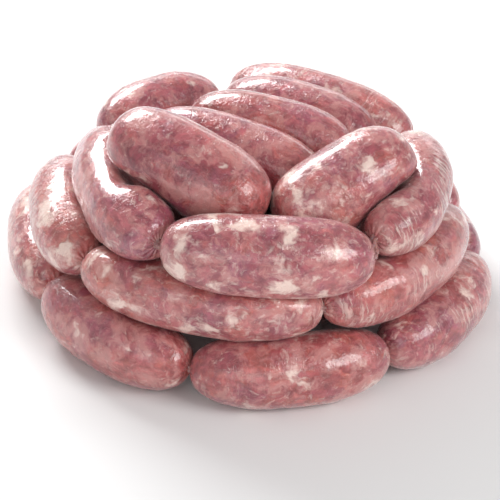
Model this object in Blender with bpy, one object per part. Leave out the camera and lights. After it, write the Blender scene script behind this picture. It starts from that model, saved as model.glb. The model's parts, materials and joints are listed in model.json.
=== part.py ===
"""A long string of fresh pork sausage links, heaped in coils as it is laid out on a board.

The string starts in the middle of the heap, winds down and outwards to the table, runs once round
the foot of the heap, climbs into a second turn and a third, and ends folded to and fro across the
top. Each link is one solid with the short neck of twisted casing that joins it to the next one.
Metres, +Z up. The table is z = 0, the heap's middle is on the Z axis and its front faces -Y.
"""
import math

import bmesh
import bpy
import numpy as np

COLLECTION = "string_of_sausage_links"
MM = 0.001

# Driving dimensions, in metres.
CASING_DIAMETER = 0.036    # a link of hog casing, filled, where nothing presses on it
NECK_LENGTH = 0.0026       # twisted casing between two links that lie in line
BEND_LENGTH = 0.006        # what a right-angled turn adds to it
NECK_RADIUS = 0.0024
NECK_HANDLE = 0.4          # how far a neck leaves each link squarely, as a share of its span
LONGEST_HANDLE = 0.006
SKIN_GAP = 0.00025         # what each skin keeps clear of the middle surface between two links
END_GAP = 0.0003           # between a neck's end and the link that it joins
BLUNTNESS = 2.9            # exponent of the link's rounded outline: 2 is an ellipse
END_STUB = 0.004           # twisted casing left at a loose or hidden end
CENTRING = (0.0019317, 0.0057568, 0.0)  # brings the middle of the finished heap onto the Z axis

# Facets.
AROUND = 12
BODY_RINGS = 10
NECK_RINGS = 3
SPINE_STEPS = 28
SQUEEZE_STEPS = 40
SETTLE_ROUNDS = 8
DEEPEST_SQUEEZE = 0.25

# The route, one row for each pinch in the casing, from the string's start to its end: the pinch's
# turn round the heap (degrees from the front, to the right), its distance from the middle and its
# height, then the link that follows it: its outward bow, its upward arch and its girth as a share
# of CASING_DIAMETER. All lengths are in millimetres. In place of a girth, BARE is a strand of
# empty casing where the string folds back, and TUCKED one that runs out of sight inside the heap,
# of which only the first stub is made.
BARE = 0.0
TUCKED = -1.0
GIRTH = 5                  # a row's column for the girth
ROUTE = (
    # the start, wound down inside the heap
    (-95, 50, 47, 16, 0, 1.0),
    (15, 46, 47, 16, 0, 1.0),
    (135, 40, 43, 16, 0, 1.0),
    (250, 56, 20, 18, 0, 1.0),
    (355, 60, 16.8, 20, 0, 1.0),
    (468, 64, 16.8, 16, 0, 1.0),
    (558, 70, 16.8, 6, 0, 1.0),
    # the first turn, on the table
    (612, 119, 16.8, 6, 0, 1.0),
    (660, 113, 16.8, 8, 0, 1.04),
    (707.5, 121, 16.8, 9, 0, 1.02),
    (756.4, 116.5, 16.8, 9, 0, 1.02),
    (806, 115, 16.8, 1, 0, 0.98),
    (853, 106, 16.8, 8, 0, 1.0),
    (902, 112, 16.8, 4, 0, 1.0),
    (938, 80, 44, -2, -3, 0.98),
    # the second turn
    (985, 98, 51, 7, 0, 1.0),
    (1034, 113, 49, 12, 0, 1.0),
    (1099, 112, 49, 12, 0, 1.0),
    (1162, 102, 50, 0, 0, 0.96),
    (1213, 88, 40, 8, 0, 1.0),
    (1264, 86, 41, 0, 0, BARE),
    # back and forth across the far side, then the third turn
    (1270, 82, 66, 0, 6, 0.98),
    (1191, 86, 67, 0, 0, TUCKED),
    (1184, 62, 74, 0, 4, 0.98),
    (1279, 54, 73, 0, 0, BARE),
    (1286, 55, 73, 6, 4, 0.98),
    (1350.5, 78, 75, 6.5, -2, 1.12),
    (1417, 113, 78, 5.5, 0, 1.1),
    (1470, 115, 76, 0, 0, BARE),
    (1474, 107, 79, 12, 0, 0.98),
    (1532, 78, 81, 0, 0, TUCKED),
    # to and fro across the top
    (1501, 83, 104, 2, -1, 1.2),
    (1449, 79, 79, 0, 0, TUCKED),
    (1443, 80.5, 86.5, 0, 0, 1.21),
    (1381.5, 82.2, 105, 0, 0, BARE),
    (1362, 56, 88, 0, 3, 1.0),
    (1479, 54, 78, 0, 0, BARE),
    (1516, 49, 80, 0, 4, 1.0),
    (1336, 36, 85, 0, 0, BARE),
)

# Colour, roughness and metallic value of the raw meat seen through its casing.
TONES = {
    "casing_rosy": ((0.48, 0.17, 0.17), 0.30, 0.0),
    "casing_mauve": ((0.42, 0.16, 0.19), 0.30, 0.0),
    "casing_pale": ((0.54, 0.24, 0.22), 0.30, 0.0),
}


def pinch_point(row):
    """The place of a route row's pinch, in metres."""
    turn, reach, height = math.radians(row[0]), row[1] * MM, row[2] * MM
    return np.array((reach * math.sin(turn), -reach * math.cos(turn), height))


def unit(vector):
    """The vector at length one."""
    return vector / np.linalg.norm(vector)


def bezier(points, share):
    """The point at each share of the way along a Bezier curve through its control points."""
    share = np.asarray(share, float)[:, None]
    order = len(points) - 1
    return sum(math.comb(order, k) * (1 - share) ** (order - k) * share ** k * point
               for k, point in enumerate(points))


def slope(points, share):
    """The unit direction at each share of the way along a Bezier curve."""
    steps = [len(points) * (after - before) for before, after in zip(points, points[1:])]
    along = bezier(steps, share)
    return along / np.linalg.norm(along, axis=1)[:, None]


def spine_of(row, start, end):
    """Control points of a link's middle line: a bowed and arched span between its two tips."""
    bow, arch = row[3] * MM, row[4] * MM
    middle = (start + end) / 2
    along = unit(end - start)
    outward = np.array((middle[0], middle[1], 0.0))
    outward = outward - along * outward.dot(along)
    upward = np.array((0.0, 0.0, 1.0))
    upward = upward - along * upward.dot(along)
    sideways = unit(outward) * bow if bow else 0.0
    return [start, middle + 2 * (sideways + unit(upward) * arch), end]


def outline(half_length, half_width, angle):
    """Distance along the middle line and radius of a blunt link, at angles from its first tip."""
    power = 2 / BLUNTNESS
    lengthwise = np.sign(np.cos(angle)) * np.abs(np.cos(angle)) ** power
    return half_length * (1 - lengthwise), half_width * np.abs(np.sin(angle)) ** power


class Link:
    """One link: its middle line, its girth and the balls that fill it."""

    def __init__(self, name, spine, radius):
        """Keep the sizes and work out the balls that stand for the link in the squeeze."""
        self.name = name
        self.spine = spine
        self.radius = radius
        fine = bezier(spine, np.linspace(0, 1, 200))
        self.length = np.linalg.norm(np.diff(fine, axis=0), axis=1).sum()
        along, across = outline(self.length / 2, radius, np.linspace(0, math.pi, 120))
        share = np.linspace(0.03, 0.97, SPINE_STEPS)
        reach = np.hypot(share[:, None] * self.length - along, across)
        self.ball_radii = reach.min(axis=1)
        self.ball_centres = bezier(spine, share)
        self.neck = None

    def exit_direction(self):
        """The direction in which the middle line leaves the far tip."""
        return slope(self.spine, [1.0])[0]

    def entry_direction(self):
        """The direction in which the middle line enters the near tip."""
        return slope(self.spine, [0.0])[0]

    def clearance(self, points):
        """Distance of points from the nominal skin, negative inside it."""
        spans = np.linalg.norm(points[..., None, :] - self.ball_centres, axis=-1)
        return (spans - self.ball_radii).min(axis=-1)


def straight_neck(link):
    """Control points of the stub of casing at a link's loose end."""
    tip = link.spine[-1]
    return [tip + link.exit_direction() * END_STUB * share for share in (0, 1 / 3, 2 / 3, 1)]


def joining_neck(link, following):
    """Control points of the neck that leaves one link squarely and meets the next one squarely."""
    tip, leaving, entering = link.spine[-1], link.exit_direction(), following.entry_direction()
    face = following.spine[0] - entering * END_GAP
    span = face - tip
    handle = min(NECK_HANDLE * np.linalg.norm(span), LONGEST_HANDLE)
    # At a fold, the tip that lies further back is left the further, so the neck clears both ends.
    near_handle = handle + max(0.0, -span.dot(entering))
    far_handle = handle + max(0.0, -span.dot(leaving))
    return [tip, tip + leaving * near_handle, face - entering * far_handle, face]


def half_neck(spine, following):
    """Half the neck between two links that share a pinch, longer where the string turns there."""
    turn = 1 - slope(spine, [1.0])[0].dot(slope(following, [0.0])[0])
    return (NECK_LENGTH + BEND_LENGTH * turn) / 2


def plan_links():
    """Turn the route into links, each with the neck that joins it to the next."""
    links = []
    hidden = []
    spans = list(zip(ROUTE, ROUTE[1:]))
    rough = [spine_of(row, pinch_point(row), pinch_point(after)) if row[GIRTH] > 0 else None
             for row, after in spans]
    for (row, after), before, spine, behind in zip(spans, [None, *rough], rough, [*rough[1:], None]):
        if spine:
            start, end = spine[0], spine[-1]
            if before:
                start = start + slope(spine, [0.0])[0] * half_neck(before, spine)
            if behind:
                end = end - slope(spine, [1.0])[0] * half_neck(spine, behind)
            name = f"link_{len(links) + 1:02d}"
            links.append(Link(name, spine_of(row, start, end), CASING_DIAMETER / 2 * row[GIRTH]))
            hidden.append(after[GIRTH] == TUCKED)
    for link, following, tucked in zip(links, links[1:], hidden):
        link.neck = straight_neck(link) if tucked else joining_neck(link, following)
    links[-1].neck = straight_neck(links[-1])
    return links


def stations(link):
    """Centre, direction, radius and squeeze anchor of every ring, from the first tip to the neck."""
    angle = np.linspace(0, math.pi, BODY_RINGS + 2)[:-1]
    along, radii = outline(link.length / 2, link.radius, angle)
    radii[-1] = max(radii[-1], NECK_RADIUS)
    share = along / link.length
    cap = 0.9 * link.radius / link.length
    neck_share = np.linspace(0, 1, NECK_RINGS)
    centres = np.vstack((bezier(link.spine, share), bezier(link.neck, neck_share),
                         link.neck[-1][None]))
    directions = np.vstack((slope(link.spine, share), slope(link.neck, neck_share),
                            slope(link.neck, [1.0])))
    anchors = np.vstack((bezier(link.spine, np.clip(share, cap, 1 - cap)), centres[len(share):]))
    widths = np.concatenate((radii, np.full(NECK_RINGS, NECK_RADIUS), [0.0]))
    return centres, directions, widths, anchors


def carried_sides(directions):
    """A level sideways direction at the first ring, carried along to the others without a twist."""
    side = unit(np.cross(directions[0], (0.0, 0.0, 1.0)))
    sides = []
    for direction in directions:
        side = unit(side - direction * side.dot(direction))
        sides.append(side)
    return np.array(sides)


def room_left(link, points, neighbours):
    """How far points of a link's skin are on its own side of the surface midway to a neighbour."""
    own = np.minimum(link.clearance(points), 0.0)
    others = [neighbour.clearance(points) for neighbour in neighbours]
    return np.min(others, axis=0) - own - SKIN_GAP


def squeeze(link, skin, anchors, neighbours):
    """Draw skin points back to their anchors until they clear every neighbour and the table."""
    shares = np.linspace(1.0, DEEPEST_SQUEEZE, SQUEEZE_STEPS)
    trial = anchors[:, None] + (skin - anchors)[:, None] * shares[None, :, None]
    room = room_left(link, trial, neighbours)
    free = room >= 0
    first = np.where(free.any(axis=1), free.argmax(axis=1), SQUEEZE_STEPS - 1)
    rows = np.arange(len(skin))
    before = np.maximum(first - 1, 0)
    rise = room[rows, first] - room[rows, before]
    step = np.where(first > 0, -room[rows, before] / np.where(rise == 0, 1.0, rise), 0.0)
    share = shares[before] + (shares[first] - shares[before]) * np.clip(step, 0, 1)
    placed = anchors + (skin - anchors) * share[:, None]
    sunk = placed[:, 2] < 0
    fall = (anchors[sunk, 2] / (anchors[sunk, 2] - placed[sunk, 2]))[:, None]
    placed[sunk] = anchors[sunk] + (placed[sunk] - anchors[sunk]) * fall
    placed[sunk, 2] = 0.0
    return placed


def settle(link, placed, anchors, flats, neighbours):
    """Draw skin points in a little more where a flat facet between them still bulges across."""
    for _ in range(SETTLE_ROUNDS):
        pull = np.zeros(len(placed))
        for corners in flats:
            short = np.maximum(-room_left(link, placed[corners].mean(axis=1), neighbours), 0.0)
            for column in corners.T:
                np.maximum.at(pull, column, short)
        if pull.max() == 0.0:
            break
        inward = anchors - placed
        reach = np.maximum(np.linalg.norm(inward, axis=1), SKIN_GAP)
        share = np.minimum(pull / reach, 1 - DEEPEST_SQUEEZE)
        upright = placed[:, 2] == 0.0
        placed = placed + inward * share[:, None]
        placed[upright, 2] = 0.0
    return placed


def near(link, other):
    """Whether two links are close enough to press on each other."""
    spans = np.linalg.norm(link.ball_centres[:, None] - other.ball_centres[None], axis=-1)
    return spans.min() < link.radius + other.radius + NECK_LENGTH


def build_link(link, links, collection, material):
    """Shape a ball into one link with its neck, press it against its neighbours and place it."""
    sheet = bmesh.new()
    rings = BODY_RINGS + NECK_RINGS
    bmesh.ops.create_uvsphere(sheet, u_segments=AROUND, v_segments=rings + 1, radius=1.0)
    ball = np.array([vertex.co for vertex in sheet.verts])
    ring = np.rint(np.arccos(np.clip(ball[:, 2], -1, 1)) / math.pi * (rings + 1)).astype(int)
    turn = np.arctan2(ball[:, 1], ball[:, 0]) + math.pi / AROUND
    centres, directions, widths, anchors = stations(link)
    side = carried_sides(directions)
    lift = np.cross(side, directions)
    width = widths[ring][:, None]
    skin = centres[ring] + width * (side[ring] * np.cos(turn)[:, None]
                                    + lift[ring] * np.sin(turn)[:, None])
    neighbours = [other for other in links if other is not link and near(link, other)]
    body = ring <= BODY_RINGS
    placed = skin.copy()
    placed[body] = squeeze(link, skin[body], anchors[ring[body]], neighbours)
    quads = np.array([[vertex.index for vertex in face.verts] for face in sheet.faces
                      if len(face.verts) == 4])
    quads = quads[body[quads].all(axis=1)]
    flats = (quads, quads[:, ::2], quads[:, 1::2], quads[:, :2], quads[:, 1:3])
    placed = settle(link, placed, anchors[ring], flats, neighbours)
    for vertex, point in zip(sheet.verts, placed + CENTRING):
        vertex.co = point
    mesh = bpy.data.meshes.new(link.name)
    sheet.to_mesh(mesh)
    sheet.free()
    mesh.shade_smooth()
    mesh.materials.append(material)
    collection.objects.link(bpy.data.objects.new(link.name, mesh))


def casing_material(name):
    """A Principled material for one tone of filled casing."""
    colour, roughness, metallic = TONES[name]
    material = bpy.data.materials.new(name)
    material.use_nodes = True
    shader = material.node_tree.nodes["Principled BSDF"]
    shader.inputs["Base Color"].default_value = (*colour, 1.0)
    shader.inputs["Roughness"].default_value = roughness
    shader.inputs["Metallic"].default_value = metallic
    return material


def main():
    """Clear the file and build the whole string."""
    for thing in list(bpy.data.objects):
        bpy.data.objects.remove(thing)
    collection = bpy.data.collections.new(COLLECTION)
    bpy.context.scene.collection.children.link(collection)
    materials = [casing_material(name) for name in TONES]
    links = plan_links()
    for number, link in enumerate(links):
        build_link(link, links, collection, materials[number % len(materials)])


main()
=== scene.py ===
"""Looks of a long string of fresh pork sausage links, heaped in coils.

Every link gets a fine skin drawn through the rings of its solid, with the lumps of its filling, the
pleats of its gathered ends and the twisted casing that joins it to the next link. The finish is
marbled raw meat under a thin wet casing. Metres, +Z up, the front of the heap faces -Y.
"""

import json
import logging
import math
from dataclasses import dataclass, field
from enum import Enum

import bpy
import numpy as np
from mathutils import Matrix, Vector, noise

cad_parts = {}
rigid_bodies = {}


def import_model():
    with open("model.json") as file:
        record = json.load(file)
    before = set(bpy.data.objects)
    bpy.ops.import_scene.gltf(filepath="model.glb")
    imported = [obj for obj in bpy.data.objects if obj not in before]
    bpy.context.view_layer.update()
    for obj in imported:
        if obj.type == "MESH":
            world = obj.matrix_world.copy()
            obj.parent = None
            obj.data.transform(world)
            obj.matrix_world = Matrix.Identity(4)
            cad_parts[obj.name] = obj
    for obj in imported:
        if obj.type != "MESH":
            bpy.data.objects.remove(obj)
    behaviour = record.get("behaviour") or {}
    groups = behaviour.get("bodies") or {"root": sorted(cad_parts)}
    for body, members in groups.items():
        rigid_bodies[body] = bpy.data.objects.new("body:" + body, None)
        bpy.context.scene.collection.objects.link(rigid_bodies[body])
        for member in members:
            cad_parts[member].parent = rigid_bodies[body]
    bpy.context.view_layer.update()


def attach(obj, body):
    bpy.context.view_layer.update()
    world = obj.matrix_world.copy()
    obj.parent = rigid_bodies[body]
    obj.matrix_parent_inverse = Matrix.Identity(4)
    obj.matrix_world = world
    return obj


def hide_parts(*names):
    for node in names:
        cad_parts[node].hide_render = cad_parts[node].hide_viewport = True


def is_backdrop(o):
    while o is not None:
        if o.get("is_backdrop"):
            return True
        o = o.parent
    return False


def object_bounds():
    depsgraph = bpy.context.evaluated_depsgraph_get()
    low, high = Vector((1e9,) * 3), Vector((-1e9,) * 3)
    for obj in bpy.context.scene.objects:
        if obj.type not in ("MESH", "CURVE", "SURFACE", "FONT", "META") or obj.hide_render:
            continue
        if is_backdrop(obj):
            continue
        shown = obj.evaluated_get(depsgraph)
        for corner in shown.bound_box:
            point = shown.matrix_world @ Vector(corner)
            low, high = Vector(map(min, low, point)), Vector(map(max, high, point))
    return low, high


LOG = logging.getLogger("sausage_string")
MM = 0.001
Rows = np.ndarray
Colour = tuple[float, float, float]


# ---------------------------------------------------------------- shapes drawn through points


def read_curve(rows: Rows, at: Rows) -> Rows:
    """Read a smooth curve that passes through rows of points.

    Args:
        rows: What to pass through, one row a station, of any shape after the first axis.
        at: Where to read, in stations, between the second row and the last but one.
    Returns:
        One row for each place read.
    """
    first = np.clip(np.floor(at).astype(int), 1, len(rows) - 3)
    t = (at - first).reshape(-1, *[1] * (rows.ndim - 1))
    a, b, c, d = (rows[first + step] for step in (-1, 0, 1, 2))
    return b + t / 2 * (c - a + t * (2 * a - 5 * b + 4 * c - d + t * (3 * (b - c) + d - a)))


def unit(rows: Rows) -> Rows:
    """Return the vectors at length one."""
    return rows / np.maximum(np.linalg.norm(rows, axis=-1, keepdims=True), 1e-12)


def window(values: Rows, low: float, high: float) -> Rows:
    """Return a soft step from 0 at low to 1 at high."""
    share = np.clip((values - low) / (high - low), 0, 1)
    return share * share * (3 - 2 * share)


def lumps(places: Rows, size: float, octaves: int) -> Rows:
    """Read fractal noise.

    Args:
        places: Points in metres, on the last axis.
        size: The width of the largest lumps in metres.
        octaves: How many times finer lumps are added.
    Returns:
        One value a point, mostly between -1 and 1.
    """
    flat = (places / size).reshape(-1, 3)
    values = [noise.fractal(point, 0.9, 2.1, octaves) for point in flat.tolist()]
    return np.array(values).reshape(places.shape[:-1])


# ---------------------------------------------------------------- the solids, read as rings


@dataclass
class RingedSolid:
    """One link's solid, read back as the rings that run from its first tip to its neck."""

    node: str
    solid: bpy.types.Object
    sides: int = 12
    body_rings: int = 10
    tip: Rows = field(init=False)
    rings: Rows = field(init=False)
    neck: Rows = field(init=False)

    def __post_init__(self) -> None:
        """Weld the solid's corners and sort them into rings."""
        points, neighbours = self.weld()
        poles = [i for i, near in enumerate(neighbours) if len(near) == self.sides]
        pole = max(poles, key=lambda i: np.linalg.norm(points[list(neighbours[i])] - points[i]))
        levels = self.levels(pole, neighbours)
        body = [points[levels[k]] for k in range(1, self.body_rings + 1)]
        neck = [points[level].mean(axis=0) for level in levels[self.body_rings + 1:]
                if len(level) == self.sides]
        self.tip = points[pole]
        self.neck = np.array(neck)
        self.rings = self.in_turn(body)

    def weld(self) -> tuple[Rows, list[set[int]]]:
        """Join the corners that share a place.

        Returns:
            The places, and for each one the numbers of those that an edge joins it to.
        """
        mesh = self.solid.data
        corners = np.array([vertex.co for vertex in mesh.vertices])
        _, keep, index = np.unique(np.round(corners, 6), axis=0, return_index=True,
                                   return_inverse=True)
        index = index.reshape(-1)
        neighbours: list[set[int]] = [set() for _ in keep]
        for edge in mesh.edges:
            a, b = index[edge.vertices[0]], index[edge.vertices[1]]
            if a != b:
                neighbours[a].add(int(b))
                neighbours[b].add(int(a))
        return corners[keep], neighbours

    def levels(self, pole: int, neighbours: list[set[int]]) -> list[list[int]]:
        """Sort places by how many edges part them from the tip.

        Args:
            pole: The tip's number.
            neighbours: The numbers next to each place.
        Returns:
            The numbers at each distance, nearest first.
        """
        seen = {pole}
        found = [[pole]]
        while found[-1]:
            following = sorted({near for i in found[-1] for near in neighbours[i]} - seen)
            seen.update(following)
            found.append(following)
        return found[:-1]

    def in_turn(self, body: list[Rows]) -> Rows:
        """Put the corners of every ring in turn round the link, in line from ring to ring.

        Args:
            body: The corners of each ring in any order.
        Returns:
            The corners as an array of rings by sides by 3.
        """
        centres = np.array([self.tip, *[ring.mean(axis=0) for ring in body], self.neck[0]])
        side = None
        rings = []
        for number, ring in enumerate(body, start=1):
            along = unit(centres[number + 1] - centres[number - 1])
            side = ring[0] - centres[number] if side is None else side
            side = unit(side - along * side.dot(along))
            spread = ring - centres[number]
            angles = np.arctan2(spread @ np.cross(along, side), spread @ side)
            order = np.argsort(angles)
            start = int(np.argmin(np.abs(angles[order])))
            rings.append(ring[np.roll(order, -start)])
        return np.array(rings)


# ---------------------------------------------------------------- node wiring


class Wiring:
    """A shader node tree being wired, with short calls for the nodes that the finishes use."""

    def __init__(self, tree: bpy.types.NodeTree) -> None:
        """Keep the tree."""
        self.tree = tree

    def node(self, kind: str, sockets: dict | None = None, **settings: object) -> bpy.types.Node:
        """Add a node.

        Args:
            kind: The node's type after "ShaderNode".
            sockets: Input names or numbers, each with a value or an output to link.
            settings: The node's own properties.
        Returns:
            The new node.
        """
        made = self.tree.nodes.new("ShaderNode" + kind)
        for name, value in settings.items():
            setattr(made, name, value)
        for name, value in (sockets or {}).items():
            self.feed(made.inputs[name], value)
        return made

    def feed(self, socket: bpy.types.NodeSocket, value: object) -> None:
        """Link an output to a socket, or set the socket's value."""
        if isinstance(value, bpy.types.NodeSocket):
            self.tree.links.new(value, socket)
        elif isinstance(value, tuple) and len(value) == 3 and socket.type == "RGBA":
            socket.default_value = (*value, 1.0)
        else:
            socket.default_value = value

    def math(self, operation: str, a: object, b: object = 0.0) -> bpy.types.NodeSocket:
        """Add a Math node and return its output."""
        return self.node("Math", {0: a, 1: b}, operation=operation).outputs[0]

    def mix(self, share: object, a: object, b: object, mode: str = "MIX") -> bpy.types.NodeSocket:
        """Mix two colours and return the result.

        Args:
            share: How much of b shows.
            a: The first colour.
            b: The second colour.
            mode: The way of mixing.
        Returns:
            The mixed colour.
        """
        made = self.node("Mix", {0: share, 6: a, 7: b}, data_type="RGBA", blend_type=mode)
        return made.outputs[2]

    def step(self, value: object, low: float, high: float) -> bpy.types.NodeSocket:
        """Return a soft step of a value, 0 at low and 1 at high."""
        sockets = {"Value": value, "From Min": low, "From Max": high}
        return self.node("MapRange", sockets, interpolation_type="SMOOTHSTEP").outputs[0]

    def noise(self, place: object, scale: float, detail: float = 3.0, roughness: float = 0.55,
              distortion: float = 0.0) -> bpy.types.Node:
        """Add a Noise node.

        Args:
            place: Where to read it.
            scale: Lumps in a metre.
            detail: Octaves.
            roughness: Strength of the finer octaves.
            distortion: How far the lumps are smeared.
        Returns:
            The node.
        """
        sockets = {"Vector": place, "Scale": scale, "Detail": detail, "Roughness": roughness,
                   "Distortion": distortion}
        return self.node("TexNoise", sockets)

    def warp(self, place: object, scale: float, reach: float) -> bpy.types.NodeSocket:
        """Push places about.

        Args:
            place: The places.
            scale: Lumps of the push in a metre.
            reach: How far it pushes, in metres.
        Returns:
            The pushed places.
        """
        push = self.node("VectorMath", {0: self.noise(place, scale).outputs["Color"],
                                        1: (0.5, 0.5, 0.5)}, operation="SUBTRACT")
        far = self.node("VectorMath", {0: push.outputs[0], "Scale": 2 * reach}, operation="SCALE")
        return self.node("VectorMath", {0: place, 1: far.outputs[0]}, operation="ADD").outputs[0]

    def shift(self, place: object, reach: float) -> bpy.types.NodeSocket:
        """Return places moved by a distance, so that two noises read there don't agree."""
        return self.node("VectorMath", {0: place, 1: (reach, reach, reach)}, operation="ADD").outputs[0]

    def stretch(self, place: object, amounts: tuple[float, float, float]) -> bpy.types.NodeSocket:
        """Return places multiplied along each axis."""
        return self.node("VectorMath", {0: place, 1: amounts}, operation="MULTIPLY").outputs[0]


@dataclass
class GroupSockets:
    """A node group under construction: its tree, its inputs and its outputs by name."""

    name: str
    inputs: dict[str, str]
    outputs: dict[str, str]
    tree: bpy.types.NodeTree = field(init=False)
    wiring: Wiring = field(init=False)
    given: bpy.types.Node = field(init=False)
    result: bpy.types.Node = field(init=False)

    def __post_init__(self) -> None:
        """Make the tree and its sockets."""
        self.tree = bpy.data.node_groups.new(self.name, "ShaderNodeTree")
        for direction, sockets in (("INPUT", self.inputs), ("OUTPUT", self.outputs)):
            for name, kind in sockets.items():
                self.tree.interface.new_socket(name, in_out=direction, socket_type="NodeSocket" + kind)
        self.given = self.tree.nodes.new("NodeGroupInput")
        self.result = self.tree.nodes.new("NodeGroupOutput")
        self.wiring = Wiring(self.tree)

    def put(self, name: str, value: bpy.types.NodeSocket) -> None:
        """Link a value to one of the group's outputs."""
        self.tree.links.new(value, self.result.inputs[name])


# ---------------------------------------------------------------- shared effects


def marbled_meat() -> bpy.types.NodeTree:
    """Build the group for coarse minced pork seen through casing.

    Returns:
        The group. It puts out the meat's colour and a mask of its fat.
    """
    colours = {name: "Color" for name in ("Lean", "Rosy", "Bright", "Mauve", "Pale", "Fat")}
    shares = {"Fat Share": "Float", "Fleck Share": "Float"}
    group = GroupSockets("marbled_meat", {"Place": "Vector", **colours, **shares},
                         {"Color": "Color", "Fat": "Float"})
    w, given = group.wiring, group.given.outputs
    place = w.warp(given["Place"], 60, 6 * MM)
    ragged = w.warp(place, 240, 1.8 * MM)

    # Lean and rosy meat lie in soft patches as wide as a finger, with brighter and bluer ones.
    patches = w.step(w.noise(ragged, 54, 5, 0.62).outputs[0], 0.42, 0.58)
    colour = w.mix(patches, given["Lean"], given["Rosy"])
    bright = w.step(w.noise(w.shift(ragged, 0.11), 78, 4, 0.62).outputs[0], 0.50, 0.66)
    colour = w.mix(w.math("MULTIPLY", bright, 0.5), colour, given["Bright"])
    mauve = w.step(w.noise(w.shift(ragged, 0.23), 52, 4, 0.58).outputs[0], 0.50, 0.65)
    colour = w.mix(w.math("MULTIPLY", mauve, 0.82), colour, given["Mauve"])

    # From link to link the whole mixture drifts between warmer and bluer meat.
    drift = w.step(w.noise(w.shift(given["Place"], 0.5), 13, 1).outputs[0], 0.38, 0.62)
    colour = w.mix(0.24, colour, w.mix(drift, given["Mauve"], given["Bright"]))

    # The mince itself: short strands a few millimetres wide, darker and paler by turns.
    strands = w.noise(w.stretch(ragged, (1.0, 1.0, 0.7)), 290, 4, 0.58, 0.1).outputs[0]
    tone = w.node("MapRange", {"Value": strands, "From Min": 0.3, "From Max": 0.7, "To Min": 0.1,
                               "To Max": 0.9})
    colour = w.mix(0.44, colour, tone.outputs[0], "OVERLAY")

    # Pale clouds of fine fat, gathered in some parts of the link and rare in others.
    crowd = w.math("MULTIPLY", w.noise(w.shift(place, 0.41), 30, 2).outputs[0], 0.42)
    haze = w.math("ADD", w.noise(w.shift(ragged, 0.31), 105, 5, 0.6).outputs[0], crowd)
    clouds = w.step(haze, 0.66, 0.84)
    colour = w.mix(w.math("MULTIPLY", clouds, 0.64), colour, given["Pale"])

    # Whole pieces of fat with torn edges, and the flecks round them.
    edge = w.math("MULTIPLY", w.noise(ragged, 520, 4, 0.65).outputs[0], 0.18)
    bulk = w.math("ADD", w.math("ADD", w.noise(w.shift(ragged, 0.57), 92, 3, 0.5).outputs[0], edge), crowd)
    bulk = w.math("ADD", bulk, w.math("MULTIPLY", given["Fat Share"], 0.13))
    pieces = w.step(bulk, 0.94, 1.13)
    crumbs = w.math("ADD", w.noise(w.shift(ragged, 0.73), 300, 3, 0.6).outputs[0],
                    w.math("MULTIPLY", given["Fleck Share"], 0.12))
    flecks = w.math("MULTIPLY", w.step(crumbs, 0.62, 0.84), 0.45)
    fat = w.math("MAXIMUM", pieces, flecks)
    colour = w.mix(w.math("MULTIPLY", fat, 0.92), colour, given["Fat"])

    # Thin pale sinews wander over everything.
    paths = w.noise(w.shift(ragged, 0.9), 85, 3, 0.5, 0.8).outputs[0]
    sinew = w.step(w.math("ABSOLUTE", w.math("SUBTRACT", paths, 0.5)), 0.016, 0.0)
    colour = w.mix(w.math("MULTIPLY", sinew, 0.25), colour, given["Pale"])
    group.put("Color", colour)
    group.put("Fat", fat)
    return group.tree


def casing_relief() -> bpy.types.NodeTree:
    """Build the group for the fine relief of a tight wet casing.

    Returns:
        The group. It puts out a height in metres, a mask of where the film is dull and a mask of
        painted highlights along the folds where the casing is slack.
    """
    group = GroupSockets("casing_relief", {"Place": "Vector", "Fat": "Float", "Crease": "Float"},
                         {"Height": "Float", "Dull": "Float", "Fold Highlight": "Float"})
    w, given = group.wiring, group.given.outputs
    place = w.warp(given["Place"], 180, 1.5 * MM)

    # The mince presses through as low bumps, and fat pieces stand a little proud.
    swell = w.noise(place, 130, 2, 0.5).outputs[0]
    mince = w.noise(w.shift(place, 0.13), 340, 3, 0.6).outputs[0]
    height = w.math("ADD", w.math("MULTIPLY", swell, 0.5 * MM), w.math("MULTIPLY", mince, 0.5 * MM))
    pebbly = w.step(w.noise(w.shift(place, 0.29), 60, 2).outputs[0], 0.4, 0.62)
    pebbles = w.math("MULTIPLY", w.noise(place, 760, 2, 0.5).outputs[0], pebbly)
    height = w.math("ADD", height, w.math("MULTIPLY", pebbles, 0.22 * MM))
    height = w.math("ADD", height, w.math("MULTIPLY", given["Fat"], 0.05 * MM))

    # Slack casing creases in fine lines round the link, most of all where it bends.
    lines = w.noise(w.stretch(place, (0.6, 0.6, 5.2)), 125, 3, 0.6, 0.3).outputs[0]
    ridges = w.math("ABSOLUTE", w.math("SUBTRACT", lines, 0.5))
    slack = w.node("MapRange", {"Value": w.noise(w.shift(place, 0.47), 48, 2).outputs[0],
                                "From Min": 0.4, "From Max": 0.62, "To Min": 0.25, "To Max": 1.0})
    looseness = w.math("MULTIPLY", given["Crease"], slack.outputs[0])
    creases = w.math("MULTIPLY", ridges, w.math("MULTIPLY", looseness, 2.4 * MM))
    height = w.math("ADD", height, creases)
    # Painted highlight: pale lines along the crests of the creases, where the folds would catch the light.
    folds = w.math("MULTIPLY", w.step(lines, 0.50, 0.62), w.step(looseness, 0.36, 0.82))

    # A tight grain and a few veins that run along it.
    grain = w.noise(place, 1500, 2, 0.5).outputs[0]
    height = w.math("ADD", height, w.math("MULTIPLY", grain, 0.02 * MM))
    veins = w.noise(w.stretch(place, (1.0, 1.0, 0.25)), 260, 2, 0.5, 1.2).outputs[0]
    vein = w.step(w.math("ABSOLUTE", w.math("SUBTRACT", veins, 0.5)), 0.03, 0.0)
    height = w.math("ADD", height, w.math("MULTIPLY", vein, 0.06 * MM))
    group.put("Height", height)
    group.put("Fold Highlight", folds)
    group.put("Dull", w.step(w.noise(place, 240, 4, 0.65).outputs[0], 0.35, 0.75))
    return group.tree


# ---------------------------------------------------------------- finishes


class Filling(Enum):
    """The mixtures of meat in the string, told apart by their fat, and a dark finish of painted shade for
    the links in the heap's middle.
    """

    LEAN = "lean"
    ROSY = "rosy"
    FATTY = "fatty"
    HIDDEN = "hidden"


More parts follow.
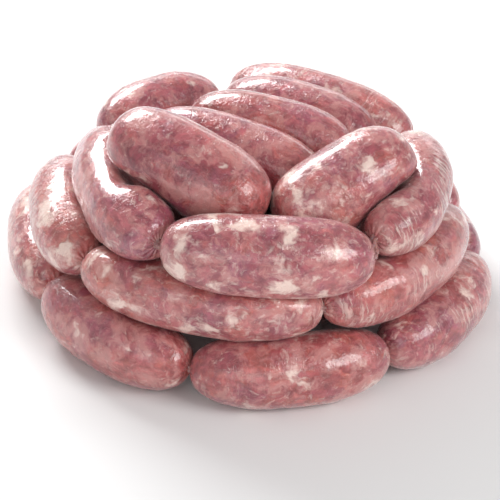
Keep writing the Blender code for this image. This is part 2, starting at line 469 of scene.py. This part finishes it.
@dataclass(frozen=True)
class MeatFinish:
    """Raw coarse pork under a wet natural casing."""

    name: str
    lean: Colour
    rosy: Colour
    fat_share: float
    fleck_share: float
    bright: Colour = (0.52, 0.125, 0.085)
    mauve: Colour = (0.30, 0.075, 0.118)
    pale: Colour = (0.62, 0.290, 0.268)
    fat: Colour = (0.92, 0.710, 0.630)
    wet: float = 0.14
    dull: float = 0.30
    fold_highlight_strength: float = 0.45

    def material(self, marbling: bpy.types.NodeTree, relief: bpy.types.NodeTree) -> bpy.types.Material:
        """Build the material.

        Args:
            marbling: The group from marbled_meat.
            relief: The group from casing_relief.
        Returns:
            The new material.
        """
        made = bpy.data.materials.new(self.name)
        made.use_nodes = True
        w = Wiring(made.node_tree)
        place = w.node("Attribute", attribute_name="flesh").outputs["Vector"]
        crease = w.node("Attribute", attribute_name="crease").outputs["Fac"]
        meat = w.node("Group", node_tree=marbling)
        for socket, value in {"Place": place, "Lean": self.lean, "Rosy": self.rosy,
                              "Bright": self.bright, "Mauve": self.mauve, "Pale": self.pale,
                              "Fat": self.fat, "Fat Share": self.fat_share,
                              "Fleck Share": self.fleck_share}.items():
            w.feed(meat.inputs[socket], value)
        film = w.node("Group", node_tree=relief)
        for socket, value in {"Place": place, "Fat": meat.outputs["Fat"], "Crease": crease}.items():
            w.feed(film.inputs[socket], value)
        # Painted highlight: the fold lines are mixed toward the fat's pale colour.
        painted_fold_highlight = w.math("MULTIPLY", film.outputs["Fold Highlight"], self.fold_highlight_strength)
        colour = w.mix(painted_fold_highlight, meat.outputs["Color"], self.fat)
        bump = w.node("Bump", {"Strength": 1.0, "Distance": 1.0, "Height": film.outputs["Height"]})
        rough = w.node("MapRange", {"Value": film.outputs["Dull"], "To Min": self.wet,
                                    "To Max": self.dull})
        shader = made.node_tree.nodes["Principled BSDF"]
        for socket, value in {"Base Color": colour, "Roughness": rough.outputs[0],
                              "Normal": bump.outputs[0], "IOR": 1.5, "Specular IOR Level": 0.6,
                              "Coat Weight": 0.6, "Coat Roughness": 0.09, "Subsurface Weight": 0.06,
                              "Subsurface Scale": 2 * MM, "Sheen Weight": 0.15,
                              "Sheen Roughness": 0.4}.items():
            w.feed(shader.inputs[socket], value)
        shader.inputs["Subsurface Radius"].default_value = (1.0, 0.42, 0.34)
        return made


@dataclass(frozen=True)
class TwistFinish:
    """Empty casing twisted into a cord: clear, wet and a little pink."""

    name: str = "twisted_casing"
    pale: Colour = (0.48, 0.25, 0.23)
    deep: Colour = (0.22, 0.07, 0.07)

    def material(self) -> bpy.types.Material:
        """Build and return the material."""
        made = bpy.data.materials.new(self.name)
        made.use_nodes = True
        w = Wiring(made.node_tree)
        place = w.node("Attribute", attribute_name="flesh").outputs["Vector"]
        folds = w.noise(w.stretch(place, (1.0, 1.0, 0.6)), 420, 3, 0.6, 0.8).outputs[0]
        colour = w.mix(w.step(folds, 0.35, 0.62), self.deep, self.pale)
        bump = w.node("Bump", {"Strength": 1.0, "Distance": 1.0,
                               "Height": w.math("MULTIPLY", folds, 0.5 * MM)})
        rough = w.node("MapRange", {"Value": folds, "To Min": 0.12, "To Max": 0.32})
        shader = made.node_tree.nodes["Principled BSDF"]
        for socket, value in {"Base Color": colour, "Roughness": rough.outputs[0],
                              "Normal": bump.outputs[0], "IOR": 1.42, "Coat Weight": 0.8,
                              "Coat Roughness": 0.08, "Subsurface Weight": 0.3,
                              "Subsurface Scale": 2 * MM}.items():
            w.feed(shader.inputs[socket], value)
        return made


@dataclass(frozen=True)
class TableFinish:
    """A plain pale studio table."""

    name: str = "studio_table"
    colour: Colour = (0.86, 0.86, 0.86)

    def material(self) -> bpy.types.Material:
        """Build and return the material."""
        made = bpy.data.materials.new(self.name)
        made.use_nodes = True
        shader = made.node_tree.nodes["Principled BSDF"]
        shader.inputs["Base Color"].default_value = (*self.colour, 1.0)
        shader.inputs["Roughness"].default_value = 0.9
        shader.inputs["Specular IOR Level"].default_value = 0.1
        return made


MEATS = {
    Filling.LEAN: MeatFinish("meat_lean", (0.27, 0.050, 0.062), (0.43, 0.112, 0.120), 0.15, 0.2),
    Filling.ROSY: MeatFinish("meat_rosy", (0.28, 0.055, 0.070), (0.47, 0.135, 0.142), 0.5, 0.5),
    Filling.FATTY: MeatFinish("meat_fatty", (0.30, 0.064, 0.080), (0.48, 0.148, 0.148), 0.9, 0.9),
    # Painted shade: the inner links take much darker colours that stand in for the shade deep inside the
    # heap.
    Filling.HIDDEN: MeatFinish("meat_inner_painted_shade", (0.12, 0.030, 0.035), (0.18, 0.050, 0.055), 0.0, 0.2,
                               bright=(0.20, 0.05, 0.04), mauve=(0.12, 0.04, 0.05),
                               pale=(0.24, 0.10, 0.10), fat=(0.30, 0.18, 0.15)),
}


# ---------------------------------------------------------------- one link


@dataclass
class SausageLink:
    """One link of the string: the skin over its meat, and its neck of twisted casing."""

    number: int
    filling: Filling
    hidden: bool = False
    slackness: float = 0.7
    columns: int = 104
    rows: int = 150
    lump_height: float = 0.34 * MM
    wrinkle_height: float = 0.18 * MM
    wrinkle_width: float = 8 * MM
    pleat_height: float = 0.20 * MM
    nipple_height: float = 0.5 * MM
    fullness: float = 0.25 * MM
    end_fullness: float = 0.85 * MM
    end_reach: float = 9 * MM
    nipple_width: float = 3.6 * MM
    neck_radius: float = 1.7 * MM
    flare_radius: float = 3.4 * MM
    flare_length: float = 2.2 * MM
    neck_columns: int = 24
    neck_pitch: float = 0.5 * MM
    solid: RingedSolid = field(init=False)

    def __post_init__(self) -> None:
        """Read the link's solid, and take fewer facets where the heap hides the link."""
        self.node = f"link_{self.number:02d}"
        self.solid = RingedSolid(self.node, bpy.data.objects[self.node])
        if self.hidden:
            self.columns, self.rows = 48, 60

    def stations(self) -> Rows:
        """Return the solid's rings from tip to tip, made finer round the link.

        Returns:
            An array of stations by columns by 3, with one more ring beyond each tip.
        """
        spectrum = np.fft.rfft(self.solid.rings, axis=1)
        keep = np.array([1.0, 1.0, 1.0, 1.0, 0.95, 0.8, 0.3])
        fine = np.fft.irfft(spectrum * keep[:, None], n=self.columns, axis=1)
        fine *= self.columns / self.solid.sides
        turned = self.columns // 2
        first, last = (np.tile(point, (1, self.columns, 1)) for point in
                       (self.solid.tip, self.solid.neck[0]))
        return np.concatenate((np.roll(fine[:1], turned, axis=1), first, fine, last,
                               np.roll(fine[-1:], turned, axis=1)))

    def skin_rows(self) -> Rows:
        """Return the smooth skin as evenly spaced rows from tip to tip, rows by columns by 3."""
        stations = self.stations()
        dense = np.linspace(1, len(stations) - 2, 12 * self.rows)
        rough = read_curve(stations, dense)
        steps = np.linalg.norm(np.diff(rough, axis=0), axis=2).mean(axis=1)
        run = np.concatenate(([0.0], np.cumsum(steps)))
        return read_curve(stations, np.interp(np.linspace(0, run[-1], self.rows), run, dense))

    def body(self) -> "Sheet":
        """Build the filled part of the link.

        Returns:
            Its skin with lumps, pleated ends and the places that the finish reads.
        """
        rows = self.skin_rows()
        centres = rows.mean(axis=1)
        run = np.concatenate(([0.0], np.cumsum(np.linalg.norm(np.diff(centres, axis=0), axis=1))))
        spread = rows - centres[:, None]
        radius = np.linalg.norm(spread, axis=2)
        turn = np.linspace(0, 2 * math.pi, self.columns, endpoint=False)
        flesh = np.stack((radius * np.cos(turn), radius * np.sin(turn),
                          np.broadcast_to(run[:, None] + 0.37 * self.number, radius.shape)), axis=2)
        along = unit(np.gradient(rows, axis=0))
        across = unit(np.roll(rows, -1, axis=1) - np.roll(rows, 1, axis=1))
        outward = np.cross(across, along)
        outward *= np.sign((outward * spread).sum(axis=2).mean())
        outward[0], outward[-1] = unit(centres[0] - centres[2]), unit(centres[-1] - centres[-3])
        outward = unit(outward)

        from_tip = np.minimum(np.cumsum(np.linalg.norm(np.diff(rows, axis=0, prepend=rows[:1]),
                                                       axis=2).mean(axis=1)), np.inf)
        to_tip = np.minimum(from_tip, from_tip[-1] - from_tip)
        open_part = window(to_tip, 0.0, 9 * MM)[:, None]
        rise = self.lump_height * lumps(flesh, 21 * MM, 3) * (0.3 + 0.7 * open_part)
        pleats = 12 + self.number % 5
        wander = lumps(flesh, 9 * MM, 1) * 2.2
        near = (window(to_tip, 0.6 * MM, 3.5 * MM) * (1 - window(to_tip, 5 * MM, 12 * MM)))[:, None]
        rise = rise + self.pleat_height * near * np.cos(pleats * turn[None] + wander)
        nipple = np.exp(-(radius / self.nipple_width) ** 2) * (to_tip < 12 * MM)[:, None]
        rise = rise + self.nipple_height * nipple
        rise = rise + self.fullness + self.end_fullness * np.exp(-(to_tip / self.end_reach) ** 2)[:, None]
        slack = self.creases(centres, outward, to_tip)
        wrinkles = lumps(flesh * (1.0, 1.0, 3.4), self.wrinkle_width, 2)
        rise = rise + self.wrinkle_height * slack * wrinkles * open_part
        skin = rows + outward * rise[..., None]
        skin[..., 2] = np.maximum(skin[..., 2], 0.0)  # the table presses the lowest links flat
        return Sheet(skin, flesh, slack, closed=True)

    def creases(self, centres: Rows, outward: Rows, to_tip: Rows) -> Rows:
        """Work out where the casing wrinkles.

        Args:
            centres: The link's middle line.
            outward: The skin's outward directions.
            to_tip: Each row's distance from the nearer tip, over the skin.
        Returns:
            How far it is wrinkled at every point: 0 is tight, and 1 and more is loose.
        """
        chord = unit(centres[-1] - centres[0])
        lean = centres - centres[0] - ((centres - centres[0]) @ chord)[:, None] * chord
        bow = np.linalg.norm(lean, axis=1).max()
        bend = unit(lean[len(lean) // 2])
        side = outward @ bend
        bent = window(np.full(1, bow), 1 * MM, 9 * MM)[0]
        outer = window(side, 0.1, 0.95) * 0.8
        inner = window(-side, 0.3, 1.0)
        ends = (1 - window(to_tip, 4 * MM, 22 * MM))[:, None]
        wrinkled = np.clip(0.35 + bent * (outer + inner) * (0.5 + 0.5 * ends) + 0.25 * ends, 0, 1)
        return wrinkled * self.slackness

    def neck_path(self) -> Rows:
        """Return the points of the neck's middle line, from inside this link to inside the next."""
        tip, end = self.solid.neck[0], self.solid.neck[-1]
        leaving = unit(tip - self.solid.rings[-1].mean(axis=0))
        span = np.linalg.norm(end - tip)
        first = tip + leaving * min(0.4 * span, 6 * MM)
        last = (tip + end) / 2
        if len(self.solid.neck) > 2:
            last = (8 * self.solid.neck[1] - tip - end - 3 * first) / 3
        share = np.linspace(0, 1, max(8, round(span / self.neck_pitch)))[:, None]
        line = ((1 - share) ** 3 * tip + 3 * (1 - share) ** 2 * share * first
                + 3 * (1 - share) * share ** 2 * last + share ** 3 * end)
        into = unit(line[-1] - line[-2]) * (2.0 * MM if len(self.solid.neck) > 2 else 0.2 * MM)
        return np.vstack((line[:1] - leaving * 2.0 * MM, line, line[-1:] + into))

    def neck(self) -> "Sheet":
        """Build the twisted casing that follows the link.

        Returns:
            A pleated tube that flares where it leaves and enters the meat.
        """
        line = self.neck_path()
        joined = len(self.solid.neck) > 2
        run = np.concatenate(([0.0], np.cumsum(np.linalg.norm(np.diff(line, axis=0), axis=1))))
        along = unit(np.gradient(line, axis=0))
        side = np.cross(along[0], (0.3, 0.2, 0.93))
        sides = []
        for direction in along:
            side = unit(side - direction * side.dot(direction))
            sides.append(side)
        sides = np.array(sides)
        lift = np.cross(sides, along)
        near = np.minimum(run, run[-1] - run) if joined else run
        flare = np.exp(-np.maximum(near - 1.2 * MM, 0) / self.flare_length)
        radius = self.neck_radius + (self.flare_radius - self.neck_radius) * flare
        if not joined:
            radius = radius * np.sqrt(np.clip((run[-1] - run) / (1.2 * MM), 0.0, 1.0))
        turn = np.linspace(0, 2 * math.pi, self.neck_columns, endpoint=False)
        twist = run[:, None] / (5 * MM) * 2 * math.pi
        fold = 1 + 0.16 * np.cos(5 * turn[None] + twist) + 0.09 * np.cos(2 * turn[None] - 0.6 * twist
                                                                        + self.number)
        reach = radius[:, None] * fold
        rows = line[:, None] + reach[..., None] * (sides[:, None] * np.cos(turn)[None, :, None]
                                                   + lift[:, None] * np.sin(turn)[None, :, None])
        flesh = np.stack((reach * np.cos(turn), reach * np.sin(turn),
                          np.broadcast_to(run[:, None] + 0.37 * self.number + 0.2, reach.shape)), axis=2)
        return Sheet(rows, flesh, np.zeros(reach.shape), closed=False)

    def build(self, meat: bpy.types.Material, casing: bpy.types.Material) -> bpy.types.Object:
        """Join body and neck into one piece that stands for the link's solid.

        Args:
            meat: The filled part's material.
            casing: The neck's material.
        Returns:
            The finished piece.
        """
        piece = join_sheets(f"sausage_{self.number:02d}", [self.body(), self.neck()], [meat, casing])
        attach(piece, "root")
        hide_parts(self.node)
        return piece


# ---------------------------------------------------------------- mesh making


@dataclass
class Sheet:
    """A tube of rows by columns of points, with what the finishes read at each one."""

    rows: Rows
    flesh: Rows
    crease: Rows
    closed: bool

    def corners(self) -> Rows:
        """Return the points in order, with a single one at each closed tip, or a lid's middle."""
        return self.ordered(self.rows)

    def ordered(self, values: Rows) -> Rows:
        """Put values in the order of the points.

        Args:
            values: One value or vector a point, rows by columns.
        Returns:
            The inner rows' values and then those of the first and last tip.
        """
        inner = values[1:-1] if self.closed else values
        flat = inner.reshape(-1, *values.shape[2:])
        return np.concatenate((flat, values[:1].mean(axis=1), values[-1:].mean(axis=1)))

    def faces(self, start: int) -> list[tuple[int, ...]]:
        """Return the faces, all turned the same way.

        Args:
            start: The number of the sheet's first point in the whole mesh.
        Returns:
            Tuples of point numbers.
        """
        count, columns = self.rows.shape[0] - (2 if self.closed else 0), self.rows.shape[1]
        grid = start + np.arange(count * columns).reshape(count, columns)
        right = np.roll(grid, -1, axis=1)
        quads = np.stack((grid[:-1], right[:-1], right[1:], grid[1:]), axis=2).reshape(-1, 4)
        first, last = start + count * columns, start + count * columns + 1
        fans = [(first, int(b), int(a)) for a, b in zip(grid[0], right[0])]
        fans += [(last, int(a), int(b)) for a, b in zip(grid[-1], right[-1])]
        return [*map(tuple, quads.tolist()), *fans]


def join_sheets(name: str, sheets: list[Sheet], materials: list[bpy.types.Material]) -> bpy.types.Object:
    """Make one smooth object from several sheets.

    Args:
        name: The object's name.
        sheets: The sheets, in order.
        materials: One material for each sheet.
    Returns:
        The new object, linked to the scene.
    """
    corners = [sheet.corners() for sheet in sheets]
    starts = np.concatenate(([0], np.cumsum([len(points) for points in corners])))
    faces = [sheet.faces(int(start)) for sheet, start in zip(sheets, starts)]
    mesh = bpy.data.meshes.new(name)
    mesh.from_pydata(np.vstack(corners), [], [face for part in faces for face in part])
    slots = np.repeat(np.arange(len(sheets)), [len(part) for part in faces])
    for material in materials:
        mesh.materials.append(material)
    mesh.polygons.foreach_set("material_index", slots.astype(np.int32))
    flesh = mesh.attributes.new("flesh", "FLOAT_VECTOR", "POINT")
    flesh.data.foreach_set("vector", np.vstack([sheet.ordered(sheet.flesh) for sheet in sheets])
                           .astype(np.float32).ravel())
    crease = mesh.attributes.new("crease", "FLOAT", "POINT")
    crease.data.foreach_set("value", np.concatenate([sheet.ordered(sheet.crease) for sheet in sheets])
                            .astype(np.float32))
    mesh.shade_smooth()
    mesh.update()
    made = bpy.data.objects.new(name, mesh)
    bpy.context.scene.collection.objects.link(made)
    return made


@dataclass
class SausageString:
    """The whole heaped string, link after link."""

    links: int = 30
    inner: tuple[int, ...] = (1, 2, 3, 4, 5, 6)
    fatty: tuple[int, ...] = (8, 16, 17, 25, 27)
    lean: tuple[int, ...] = (2, 5, 9, 13, 18, 22, 28, 29, 30)
    slack: tuple[int, ...] = (8, 11, 16, 18, 21)
    slackest: tuple[int, ...] = (26,)
    slackness: tuple[float, float, float] = (0.7, 1.15, 1.7)

    def filling(self, number: int) -> Filling:
        """Return the mixture in a link."""
        # The inner links get the dark finish of painted shade.
        if number in self.inner:
            return Filling.HIDDEN
        if number in self.fatty:
            return Filling.FATTY
        return Filling.LEAN if number in self.lean else Filling.ROSY

    def looseness(self, number: int) -> float:
        """Return how slack a link's casing is."""
        tight, slack, slackest = self.slackness
        if number in self.slackest:
            return slackest
        return slack if number in self.slack else tight

    def build(self) -> None:
        """Build every link with its finish."""
        marbling, relief = marbled_meat(), casing_relief()
        meats = {filling: finish.material(marbling, relief) for filling, finish in MEATS.items()}
        casing = TwistFinish().material()
        for number in range(1, self.links + 1):
            link = SausageLink(number, self.filling(number), hidden=number in self.inner,
                               slackness=self.looseness(number))
            piece = link.build(meats[link.filling], casing)
            LOG.info("%s: %s filling, %d faces", piece.name, link.filling.value, len(piece.data.polygons))


# ---------------------------------------------------------------- studio


@dataclass(frozen=True)
class Softbox:
    """A rectangular studio light that looks at the heap."""

    name: str
    azimuth: float
    elevation: float
    distance: float
    width: float
    height: float
    power: float

    def place(self, target: Vector) -> None:
        """Set the light up, aimed at a point."""
        lamp = bpy.data.lights.new(self.name, "AREA")
        lamp.shape = "RECTANGLE"
        lamp.size, lamp.size_y, lamp.energy = self.width, self.height, self.power
        turn, rise = math.radians(self.azimuth), math.radians(self.elevation)
        away = Vector((math.sin(turn) * math.cos(rise), -math.cos(turn) * math.cos(rise), math.sin(rise)))
        made = bpy.data.objects.new(self.name, lamp)
        made.location = target + away * self.distance
        made.rotation_euler = away.to_track_quat("Z", "Y").to_euler()
        bpy.context.scene.collection.objects.link(made)
        LOG.info("%s: %.0f W", self.name, self.power)


@dataclass(frozen=True)
class Viewpoint:
    """The camera, in front of the heap and above it."""

    distance: float = 1.0
    elevation: float = 32.85
    roll: float = 3.44
    aim: tuple[float, float, float] = (0.0014, -0.0469, 0.045)
    lens: float = 141.66
    sensor: float = 36.0

    def place(self) -> None:
        """Make the camera and give it to the scene."""
        rise = math.radians(self.elevation)
        back = Vector((0.0, -math.cos(rise), math.sin(rise)))
        data = bpy.data.cameras.new("camera")
        data.lens, data.sensor_width = self.lens, self.sensor
        made = bpy.data.objects.new("camera", data)
        level = back.to_track_quat("Z", "Y").to_matrix().to_4x4()
        tilt = Matrix.Rotation(math.radians(self.roll), 4, "Z")
        made.matrix_world = Matrix.Translation(Vector(self.aim) + back * self.distance) @ level @ tilt
        bpy.context.scene.collection.objects.link(made)
        bpy.context.scene.camera = made


@dataclass
class Studio:
    """The table, the light and the camera."""

    table_size: float = 6.0
    table_drop: float = 0.3 * MM
    sky: float = 0.42
    lights: tuple[Softbox, ...] = (
        Softbox("key_back_left", -148, 34, 1.3, 0.85, 0.38, 20),
        Softbox("fill_front_right", 57, 32, 1.2, 0.60, 0.46, 6.8),
        Softbox("wash_front", -18, 26, 1.8, 1.6, 1.0, 6.4),
        Softbox("rim_back", 172, 14, 1.5, 1.8, 0.25, 3),
    )

    def table(self) -> None:
        """Lay the table under the heap."""
        half = self.table_size / 2
        mesh = bpy.data.meshes.new("table")
        mesh.from_pydata([(-half, -half, 0), (half, -half, 0), (half, half, 0), (-half, half, 0)],
                         [], [(0, 1, 2, 3)])
        mesh.materials.append(TableFinish().material())
        made = bpy.data.objects.new("table", mesh)
        made.location.z = -self.table_drop
        bpy.context.scene.collection.objects.link(made)
        made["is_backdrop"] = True

    def world(self) -> None:
        """Give the scene an even white sky."""
        world = bpy.data.worlds.new("sky")
        world.use_nodes = True
        sky = world.node_tree.nodes["Background"]
        sky.inputs["Color"].default_value = (1.0, 1.0, 1.0, 1.0)
        sky.inputs["Strength"].default_value = self.sky
        bpy.context.scene.world = world

    def build(self) -> None:
        """Set everything up round the heap."""
        low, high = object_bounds()
        self.table()
        self.world()
        for light in self.lights:
            light.place((low + high) / 2)
        Viewpoint().place()
        scene = bpy.context.scene
        scene.view_settings.view_transform = "Standard"


def empty_scene() -> None:
    """Remove what a new file starts with."""
    for thing in list(bpy.data.objects):
        bpy.data.objects.remove(thing)


def main() -> None:
    """Load the frame, dress the string and set up the studio."""
    logging.basicConfig(level=logging.INFO, format="%(name)s %(message)s")
    empty_scene()
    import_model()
    SausageString().build()
    Studio().build()


if __name__ == "__main__":
    main()
